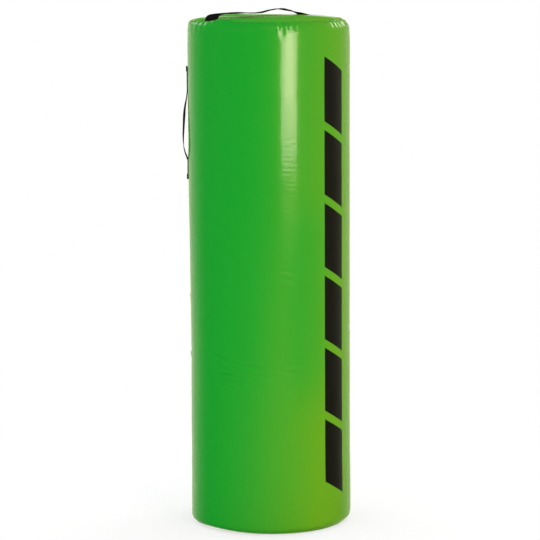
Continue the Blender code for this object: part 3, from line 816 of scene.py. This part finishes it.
def smooth_value(points, at):
    """A place on a smooth curve through the points, with no overshoot between them."""
    places = [point[0] for point in points]
    values = [point[1] for point in points]
    steps = zip(points, points[1:])
    slopes = [(after[1] - before[1]) / (after[0] - before[0]) for before, after in steps]
    tangents = [slopes[0]]
    for before, after in zip(slopes, slopes[1:]):
        flat = before * after <= 0
        tangents.append(0 if flat else 2 * before * after / (before + after))
    tangents.append(slopes[-1])
    i = min(max(bisect.bisect_right(places, at) - 1, 0), len(slopes) - 1)
    span = places[i + 1] - places[i]
    t = ramp(at, places[i], places[i + 1])
    start = (2 * t**3 - 3 * t**2 + 1) * values[i] + (t**3 - 2 * t**2 + t) * span * tangents[i]
    end = (3 * t**2 - 2 * t**3) * values[i + 1]
    return start + end + (t**3 - t**2) * span * tangents[i + 1]


webbing = webbing_finish("black_webbing")
black_thread = thread_finish("black_thread", (0.03, 0.03, 0.03, 1), (0.008, 0.008, 0.008, 1))
flat = WEB_WIDTH - WEB
under = [(-flat / 2 + flat * i / WEB_COLUMNS, 0) for i in range(WEB_COLUMNS + 1)]
rounded = bend(flat / 2, WEB / 2, WEB / 2, WEB / 2, (135, 90, 45))
# The webbing's section with its rounded edges: across, and up from its underside.
WEB_SECTION = under + rounded
WEB_SECTION += [(across, WEB) for across, _ in reversed(under)]
WEB_SECTION += [(-across, up) for across, up in reversed(rounded)]
SIDE_TOP, SIDE_BOTTOM = 1298 * MM, 982 * MM
SIDE_SPAN_TOP, SIDE_SPAN = 1230 * MM, 197 * MM
SIDE_SPAN_BOTTOM = SIDE_SPAN_TOP - SIDE_SPAN
SIDE_GRIP_TOP = SIDE_SPAN_TOP - 0.31 * SIDE_SPAN
SIDE_GRIP_BOTTOM = SIDE_SPAN_TOP - 0.88 * SIDE_SPAN
SIDE_ROW = 2.5 * MM
SIDE_LIFT = 12.3 * MM
# Down the free span, as shares of it: the bow as a share of SIDE_LIFT, and the twist in degrees.
SIDE_LIFT_SHARES = (
    (0.0, 0.0), (0.10, 0.20), (0.28, 0.62), (0.42, 0.80), (0.55, 0.91), (0.68, 1.0), (0.80, 0.90),
    (0.88, 0.62), (0.95, 0.25), (1.0, 0.0),
)
SIDE_TWISTS = ((0.0, 0.0), (0.18, 4.4), (0.36, 7.5), (0.52, 6.2), (0.68, 4.6), (0.82, 1.8), (1.0, 0.0))
FOLD = 14 * MM
SEWN_EDGE = 4.5 * MM


def side_strap_point(height, across, up):
    """A point of the side handle: up is measured out from its underside."""
    share = ramp(height, SIDE_SPAN_TOP, SIDE_SPAN_BOTTOM)
    lift = SIDE_LIFT * smooth_value(SIDE_LIFT_SHARES, share)
    twist = math.radians(smooth_value(SIDE_TWISTS, share))
    wall_reach = COVER_REACH + float(swell_at(-90, height)) + 0.2 * MM
    bow = across**2 / (2 * COVER_REACH) * ramp(lift, 6 * MM, 0)
    to_end = min(SIDE_TOP - height, height - SIDE_BOTTOM)
    up = up * (1 + ramp(to_end, FOLD, FOLD * 5 / 6))
    outwards = up * math.cos(twist) + across * math.sin(twist)
    sideways = across * math.cos(twist) - up * math.sin(twist)
    return Vector((-(wall_reach + lift - bow + outwards), sideways, height))


def side_strap(name, high, low, body, node):
    rows = max(8, round((high - low) / SIDE_ROW))
    heights = [high + (low - high) * i / rows for i in range(rows + 1)]
    lengths = [SIDE_TOP - height for height in heights]

    def place(row, spot):
        return side_strap_point(heights[row], *spot)

    return closed_strip(name, lengths, WEB_SECTION, place, webbing, body, "black_webbing", node)


upper_leg = side_strap("side_strap_upper", SIDE_TOP, SIDE_GRIP_TOP, None, "side_handle_upper_end")
side_strap("side_strap_grip", SIDE_GRIP_TOP, SIDE_GRIP_BOTTOM, "side_handle", "side_handle_grip")
lower_leg = side_strap("side_strap_lower", SIDE_GRIP_BOTTOM, SIDE_BOTTOM, None, "side_handle_lower_end")
for leg, sewn, free in (
    (upper_leg, SIDE_SPAN_TOP, SIDE_GRIP_TOP),
    (lower_leg, SIDE_SPAN_BOTTOM, SIDE_GRIP_BOTTOM),
):
    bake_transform(leg)


def on_side_strap(across, height):
    """A place on the strap's outer face, and the way that face looks."""
    spot = side_strap_point(height, across, WEB)
    above = side_strap_point(height + 0.5 * MM, across, WEB)
    beside = side_strap_point(height, across + 0.5 * MM, WEB)
    facing = (above - spot).cross(beside - spot).normalized()
    return spot, facing if facing.x < 0 else -facing


stitches = []
for low, high in (
    (SIDE_SPAN_TOP + 2 * MM, SIDE_TOP - 3 * MM),
    (SIDE_BOTTOM + 3 * MM, SIDE_SPAN_BOTTOM - 2 * MM),
):
    half = WEB_WIDTH / 2 - SEWN_EDGE
    corners = [(-half, low), (half, low), (half, high), (-half, high)]
    lines = [*zip(corners, corners[1:] + corners[:1]), corners[::2], corners[1::2]]
    for start, end in lines:
        stitches += run_of_stitches(on_side_strap, start, end)
sew("side_strap_stitches", stitches, black_thread, "bag", "black_webbing")
dress_node("side_handle_upper_backing", stiff_pvc)
dress_node("side_handle_lower_backing", stiff_pvc)

# Top handle: the same webbing from rim to rim across the top, caught in the seam at both ends.
# It stands up steeply at the front, sags, humps over the middle and lies down towards the back.
TOP_WAY = Vector((math.cos(TOP_TURN), math.sin(TOP_TURN), 0))
TOP_SIDE = Vector((-math.sin(TOP_TURN), math.cos(TOP_TURN), 0))
TOP_LINE = 1439.6 * MM
TOP_FOOT_SHIFT = 13 * MM
TOP_SAG = 0.5 * MM
# The strap's underside: place along the diagonal and height above the seam, in mm.
TOP_PATH = (
    (-205.0, -3.4), (-204.9, -1.0), (-204.4, 3.0), (-202.6, 7.2), (-199.4, 11.3), (-194.5, 14.9),
    (-188.0, 16.8), (-180.0, 17.8), (-168, 18.5), (-141, 19.0), (-110, 19.4), (-79, 18.6),
    (-48, 16.2), (-18, 19.4), (4, 21.7), (18, 23.6), (31, 24.4), (44, 24.0), (60, 22.2), (75, 18.6),
    (90, 16.8), (105, 14.4), (121, 10.2), (138, 5.0), (152, 3.5), (168, 2.2), (184, 0.8),
    (196, -0.3), (202.0, -1.2), (204.6, -3.4), (205.0, -7.0),
)
# How far the strap rolls about its own length, in degrees; its back edge drops where it is below 0.
TOP_ROLL = (
    (-205, 0), (-187, -2.4), (-150, -0.6), (-110, 0.2), (-70, -1.2), (-50, -2.8), (-30, -5.6),
    (-10, -8.2), (10, -7.4), (25, -6.6), (40, -3.8), (55, 1.2), (70, 2.8), (90, 7.6), (115, 5.0),
    (150, 0), (205, 0),
)
TOP_GRIP_START, TOP_GRIP_END, TOP_REST = -180.1, 81.1, 160.0


def ease(value, low, high):
    share = ramp(value, low, high)
    return share * share * (3 - 2 * share)


def through(points, steps):
    """Points of a smooth curve through the given ones, with steps between each pair."""
    ends = [2 * Vector(points[0]) - Vector(points[1])]
    ends += [Vector(point) for point in points]
    ends.append(2 * ends[-1] - ends[-2])
    made = []
    for a, b, c, d in zip(ends, ends[1:], ends[2:], ends[3:]):
        for t in (i / steps for i in range(steps)):
            turning = (2 * a - 5 * b + 4 * c - d) * t**2 + (3 * b - a - 3 * c + d) * t**3
            made.append(0.5 * (2 * b + (c - a) * t + turning))
    return made + [ends[-2]]


top_path = through(TOP_PATH, 5)
top_lengths = [0]
for before, after in zip(top_path, top_path[1:]):
    top_lengths.append(top_lengths[-1] + (after - before).length * MM)


def top_strap_point(row, across, up):
    """A point of the top handle at one row of its path."""
    before, after = top_path[max(row - 1, 0)], top_path[min(row + 1, len(top_path) - 1)]
    forward = (after - before).normalized()
    spot = top_path[row] * MM
    roll = math.radians(smooth_value(TOP_ROLL, top_path[row].x))
    out = across * math.sin(roll) + up * math.cos(roll)
    across = across * math.cos(roll) - up * math.sin(roll)
    along = spot.x - forward.y * out
    lying = ramp(spot.x, 120 * MM, 150 * MM)
    crown = crown_height(math.hypot(along, across)) - crown_height(abs(along))
    sag = TOP_SAG * math.cos(across / WEB_WIDTH * math.pi) * (1 - lying)
    height = TOP_SEAM_HEIGHT + spot.y + forward.x * out + crown * lying - sag
    aside = across + TOP_FOOT_SHIFT * ease(-spot.x, 110 * MM, 205 * MM)
    return TOP_WAY * along + TOP_SIDE * aside + Vector((0, 0, height))


def top_strap(name, first, last, body, node):
    """The stretch of the strap between two rows of its path."""

    def place(row, spot):
        return top_strap_point(first + row, *spot)

    lengths = top_lengths[first : last + 1]
    return closed_strip(name, lengths, WEB_SECTION, place, webbing, body, "black_webbing", node)


def nearest_row(along):
    return min(range(len(top_path)), key=lambda row: abs(top_path[row].x - along))


def on_top_line(along):
    """A point of the line that the handle swings about."""
    return tuple(TOP_WAY * along * MM + Vector((0, 0, TOP_LINE)))


front_row, rear_row, last_row = nearest_row(TOP_GRIP_START), nearest_row(TOP_GRIP_END), len(top_path) - 1
front_cut, rear_cut = top_path[front_row].x, top_path[rear_row].x
front_leg = top_strap("top_strap_front", 0, front_row, None, "top_handle_front_end")
top_strap("top_strap_grip", front_row, rear_row, "top_handle", "top_handle_grip")
rear_leg = top_strap("top_strap_rear", rear_row, last_row, None, "top_handle_rear_end")
on_top_line(front_cut)
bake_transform(front_leg)
on_top_line(rear_cut)
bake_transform(rear_leg)

# Closure: a full-height slit at the back under a PVC flap, sewn down one side by a facing strip.
# Hook tape on the flap presses onto loop tape on the wall; every row is lock-stitched in green.
FLAP_LOW, FLAP_HIGH = 80 * MM, 1352 * MM
FLAP_START, FLAP_END = -50 * MM, 73 * MM
STRIP_START, STRIP_END = -54 * MM, -38.3 * MM
HINGE_AT, HINGE_HEIGHT, HINGE_OUT = -38 * MM, 0.715, 4.8 * MM
TAPE_START, TAPE_END = 17 * MM, 67 * MM
TAPE_LOW, TAPE_HIGH = 86 * MM, 1346 * MM
TAPE = 1.5 * MM
HEM = 12 * MM
END_ROW = 0.3 * MM
LONG_PITCH, LONG_STITCH = 4.2 * MM, 3.2 * MM


def tape_finish(name, dark, light, pitch, hooks):
    """Hook or loop tape: rows of nylon hooks, or a matted pile of loops, with painted shade in their low
    parts.
    """
    finish = Finish(name, {"Specular IOR Level": 0.3, "Roughness": 0.75})
    if hooks:
        across, along, _ = finish.axes(finish.on_cloth())
        rows, ranks = (abs((way * (math.pi / pitch)).wave()) for way in (across, along))
        height = (rows * ranks).rise(0.35, 0.8)
    else:
        height = finish.noise(finish.on_object(), pitch, 6, 0.75).rise(0.35, 0.7)
    # Painted shade: the low parts of the hooks or loops take the darker colour.
    return finish.wear(finish.mix(height, dark, light), height, pitch * 0.35)


def back_point(along, height, out):
    """A point over the back of the wall: along runs round it from the slit towards the handle side."""
    turn = along / COVER_REACH
    wall_reach = COVER_REACH + float(swell_at(180 - math.degrees(turn), height)) + out
    return Vector((-wall_reach * math.sin(turn), wall_reach * math.cos(turn), height))


def loop_layer(along, height):
    """How far the loop tape's underside lies off the wall, and its thickness. The rest say the same."""
    return 0.3 * MM, TAPE


def hook_layer(along, height):
    return 2.1 * MM, TAPE


def flap_layer(along, height):
    """The flap rises from its sewn edge over the two tapes. A turned hem doubles its three free edges."""
    edge = min(FLAP_END - along, height - FLAP_LOW, FLAP_HIGH - height)
    lift = 0.3 * MM + 3.6 * MM * ease(along, -34 * MM, 12 * MM)
    return lift, CLOTH + CLOTH * ease(HEM - edge, 0, 1 * MM)


def facing_layer(along, height):
    """The facing strip steps up over the flap's edge."""
    return 0.2 * MM + 1.1 * MM * ease(along, FLAP_START - 1.5 * MM, FLAP_START), CLOTH


def cloth_strip(name, area, grain, layer, finish, body, slot, node):
    """A curved strip on the back of the wall; layer gives its lift and thickness from place to place."""
    start, end, low, high = area
    columns, rows = grain
    step = (end - start) / columns
    section = [(start + step * i, 0) for i in range(columns + 1)] + [(end, 0.5)]
    section += [(end - step * i, 1) for i in range(columns + 1)] + [(start, 0.5)]
    levels = [low, low + END_ROW]
    levels += [low + (high - low) * i / rows for i in range(1, rows)]
    levels += [high - END_ROW, high]

    def place(row, spot):
        along, up = spot
        lift, thickness = layer(along, levels[row])
        return back_point(along, levels[row], lift + up * thickness)

    return closed_strip(name, levels, section, place, finish, body, slot, node)


green_thread = thread_finish("green_thread", (0.02, 0.30, 0.05, 1), (0.0, 0.16, 0.02, 1))
LOOP_DARK, LOOP_LIGHT = (0.006, 0.006, 0.006, 1), (0.045, 0.045, 0.045, 1)
HOOK_DARK, HOOK_LIGHT = (0.008, 0.008, 0.008, 1), (0.06, 0.06, 0.06, 1)
loop_pile = tape_finish("loop_pile", LOOP_DARK, LOOP_LIGHT, 1.1 * MM, hooks=False)
hook_rows = tape_finish("hook_rows", HOOK_DARK, HOOK_LIGHT, 1.6 * MM, hooks=True)
area = (TAPE_START, TAPE_END, TAPE_LOW, TAPE_HIGH)
loop_tape = cloth_strip(
    "loop_tape_strip", area, (8, 90), loop_layer, loop_pile, "bag", "loop_pile", "loop_tape"
)
hook_tape = cloth_strip(
    "hook_tape_strip", area, (8, 90), hook_layer, hook_rows, "flap", "hook_tape", "flap_hook_tape"
)
area = (FLAP_START, FLAP_END, FLAP_LOW, FLAP_HIGH)
flap = cloth_strip("flap_cloth", area, (62, 110), flap_layer, green_pvc, None, "green_pvc", "closure_flap")
area = (STRIP_START, STRIP_END, FLAP_LOW, FLAP_HIGH)
cloth_strip(
    "flap_facing_strip", area, (20, 110), facing_layer, green_pvc, "bag", "green_pvc", "flap_seam_strip"
)


def on_strip(along, height, out=2.2 * MM):
    """A place over the back of the wall and the way it faces, by default on the facing strip."""
    spot = back_point(along, height, out)
    return spot, Vector((spot.x, spot.y, 0)).normalized()


def on_flap(along, height):
    return on_strip(along, height, sum(flap_layer(along, height)))


stitches = []
for along in (STRIP_START + 7 * MM, STRIP_END - 3 * MM):
    start, end = (along, FLAP_LOW + 4 * MM), (along, FLAP_HIGH - 4 * MM)
    stitches += run_of_stitches(on_strip, start, end, LONG_PITCH)
sew("facing_strip_stitches", stitches, green_thread, "bag", "green_pvc", LONG_STITCH)
stitches = []
hem_line, tape_line = FLAP_END - HEM + 2.5 * MM, TAPE_START + 2 * MM
hem_start, hem_end = HINGE_AT + 6 * MM, FLAP_END - 3 * MM
for start, end in (
    ((hem_line, FLAP_LOW + 3 * MM), (hem_line, FLAP_HIGH - 3 * MM)),
    ((hem_start, FLAP_LOW + 9 * MM), (hem_end, FLAP_LOW + 9 * MM)),
    ((hem_start, FLAP_HIGH - 9 * MM), (hem_end, FLAP_HIGH - 9 * MM)),
    ((tape_line, TAPE_LOW + 8 * MM), (tape_line, TAPE_HIGH - 8 * MM)),
):
    stitches += run_of_stitches(on_flap, start, end, LONG_PITCH)
hem_stitches = sew("flap_stitches", stitches, green_thread, "flap", "green_pvc", LONG_STITCH)
hinge_start = tuple(back_point(HINGE_AT - 5 * MM, HINGE_HEIGHT, HINGE_OUT))
hinge_end = tuple(back_point(HINGE_AT + 5 * MM, HINGE_HEIGHT, HINGE_OUT))
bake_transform(flap)

# Stage: a pale studio floor in a white room. A tall and a leaning soft light on the right make the
# highlights, two rim lights stand behind, and the fills show in no reflection. The camera stands
# where the photograph was taken from.
CAMERA_BACK, CAMERA_UP = 7.6, 1.8216
CAMERA_TILT, CAMERA_ROLL = 0.14416, 0.00639
FOCAL_PIXELS, FRAME_PIXELS, SENSOR = 2704.2, 540, 36
camera_data = bpy.data.cameras.new("camera")
camera_data.sensor_width = SENSOR
camera_data.lens = FOCAL_PIXELS / FRAME_PIXELS * SENSOR
camera_data.clip_end = 200
camera = bpy.data.objects.new("camera", camera_data)
camera.matrix_world = (
    Matrix.Translation((0, -CAMERA_BACK, CAMERA_UP))
    @ Matrix.Rotation(math.pi / 2 - CAMERA_TILT, 4, "X")
    @ Matrix.Rotation(-CAMERA_ROLL, 4, "Z")
)
bpy.context.scene.collection.objects.link(camera)
bpy.context.scene.camera = camera


def soft_light(name, place, target, width, height, power, colour):
    """A rectangular light at a place, facing a target."""
    data = bpy.data.lights.new(name, "AREA")
    data.shape = "RECTANGLE"
    data.size = width
    data.size_y = height
    data.energy = power
    data.color = colour
    lamp = bpy.data.objects.new(name, data)
    turn = (Vector(target) - Vector(place)).to_track_quat("-Z", "Y").to_matrix()
    lamp.matrix_world = Matrix.Translation(place) @ turn.to_4x4()
    bpy.context.scene.collection.objects.link(lamp)
    return lamp


soft_light("tall_light", (1.49, -2.86, 2.08), (0.05, -0.22, 2.08), 1.2, 2.72, 27, (1.0, 0.82, 0.77))
soft_light("leaning_light", (1.15, -2.2, 4.2), (0.05, -0.22, 1.42), 1.2, 1.5, 22, (1.0, 0.9, 0.85))
soft_light("right_rim_light", (1.6, 1.5, 2.4), (0.2, -0.1, 1.42), 1.5, 0.6, 6, (1.0, 0.96, 0.9))
soft_light("left_rim_light", (-1.6, 1.5, 2.4), (-0.2, -0.1, 1.42), 1.5, 0.6, 3, (0.96, 1.0, 0.9))
# Glints add to the highlight and to nothing else.
for name, place, width, height, power in (
    ("tall_glint", (1.51, -2.88, 2.08), 1.2, 2.72, 22),
    ("bright_glint", (1.50, -2.80, 1.30), 0.6, 0.7, 3.4),
):
    target = (0.05, -0.22, place[2])
    glint = soft_light(name, place, target, width, height, power, (1.0, 0.80, 0.78))
    glint.visible_diffuse = False
for name, place, aim, width, power in (
    ("left_fill", (-1.9, -2.4, 3.3), 0.9, 2.4, 18),
    ("back_left_fill", (-2.1, 2.1, 2.9), 0.9, 1.6, 14),
    ("back_right_fill", (2.1, 2.1, 2.9), 0.9, 1.6, 26),
    ("foot_fill", (0.1, -1.5, 0.2), 0.15, 1.0, 3.0),
):
    fill = soft_light(name, place, (0, 0, aim), width, width * 0.6, power, (0.95, 1.0, 1.0))
    fill.visible_glossy = False

WHITE = (1, 1, 1, 1)
FLOOR_PALE, FLOOR_SPECK = (0.86, 0.86, 0.86, 1), (0.8, 0.8, 0.8, 1)
floor_shape = bmesh.new()
bmesh.ops.create_circle(floor_shape, cap_ends=True, segments=96, radius=5)
floor_mesh = bpy.data.meshes.new("floor")
floor_shape.to_mesh(floor_mesh)
floor_shape.free()
floor = bpy.data.objects.new("floor", floor_mesh)
bpy.context.scene.collection.objects.link(floor)
paper = Finish("floor", {"Roughness": 0.9, "Specular IOR Level": 0.1})
place = paper.on_object()
speck = paper.noise(place, 50 * MM, 3) * 0.1
paper.feed(paper.shader.inputs["Base Color"], paper.mix(speck, FLOOR_PALE, FLOOR_SPECK))
away = paper.node("ShaderNodeVectorMath", {"operation": "LENGTH"}, {0: place}, 1)
seen = paper.ray("Is Camera Ray") + paper.ray("Is Transmission Ray")
white = paper.node("ShaderNodeEmission", None, {"Color": WHITE, "Strength": 1})
shadowed = Wire(paper, paper.shader.outputs[0])
share = (away.rise(0.25, 1.6) * 0.35 + 0.65) * seen
blended = paper.node("ShaderNodeMixShader", None, {0: share, 1: shadowed, 2: white})
output = next(node for node in paper.tree.nodes if node.type == "OUTPUT_MATERIAL")
paper.feed(output.inputs["Surface"], blended)
floor_mesh.materials.append(paper.material)
floor.visible_glossy = False

SWEEP_TINT = (1, 1, 0.84, 1)
world = bpy.data.worlds.new("studio")
world.use_nodes = True
bpy.context.scene.world = world
air = Nodes(world.node_tree)
toward = air.node("ShaderNodeTexCoord", None, None, "Generated")
to_right, to_back, to_up = air.axes(toward)
direct = air.ray("Is Camera Ray")
clear = air.ray("Is Transmission Ray")
mirrored = air.ray("Is Glossy Ray")
# What the lacquer mirrors at its rims: the pale sweep low behind the bag, paler still on the left.
behind = to_back.rise(0.1, 1.0)
below = to_up.rise(abs(to_right) + 0.05, 0.0)
straight_back = abs(to_right).rise(0.3, 0.1) * to_up.rise(0.072, -0.015) * 1.3
paler_left = 1 - to_right.rise(-0.4, 0.4) * 0.35
sweep = (behind + behind * behind) * 0.25 * below * paler_left + 0.005 + behind * straight_back
# What lights the bag from all round: from each side, the way it starts and is full, and its power.
ambient = 0.33
for side, start, full, power in (
    (to_right, -0.3, -1.0, 1.00),
    (to_right, 0.4, 1.0, 1.10),
    (to_back, -0.2, 1.0, 0.70),
    (to_back, -0.3, -1.0, 0.10),
    (to_up, 0.1, 1.0, 0.25),
):
    ambient = ambient + side.rise(start, full) * power
plain = (1 - direct) * (1 - clear)
strength = (direct + clear) + plain * (mirrored * sweep + (1 - mirrored) * ambient)
background = world.node_tree.nodes["Background"]
air.feed(background.inputs["Color"], air.mix(mirrored, WHITE, SWEEP_TINT))
air.feed(background.inputs["Strength"], strength)
bpy.context.scene.view_settings.view_transform = "Standard"
